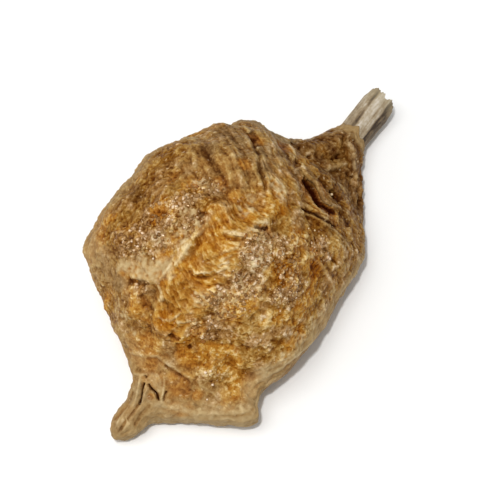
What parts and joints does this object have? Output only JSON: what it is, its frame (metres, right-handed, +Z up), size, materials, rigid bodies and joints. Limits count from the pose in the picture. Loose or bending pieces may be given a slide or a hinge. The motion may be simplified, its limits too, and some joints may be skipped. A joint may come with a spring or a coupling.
{
  "type": "praying mantis egg case",
  "caption": "Domed praying mantis egg case of hardened foam on a short twig, with a flap-covered band along its crest and a flat foot to rest on.",
  "frame": {"origin": "on the resting surface, under the middle of the whole piece", "axes": "+X along the twig from the case's blunt closed tip to the twig's broken end, +Y towards the far side, +Z up"},
  "size_m": [0.0466, 0.0255, 0.0181],
  "materials": {
    "foam": "dry, bubbly tan to orange-brown hardened foam with pale raised edges and a slight glassy sheen",
    "twig_wood": "weathered grey twig with lengthwise grooves, matt"
  },
  "bodies": {
    "root": {"egg_case": "foam", "twig": "twig_wood"}
  },
  "joints": []
}
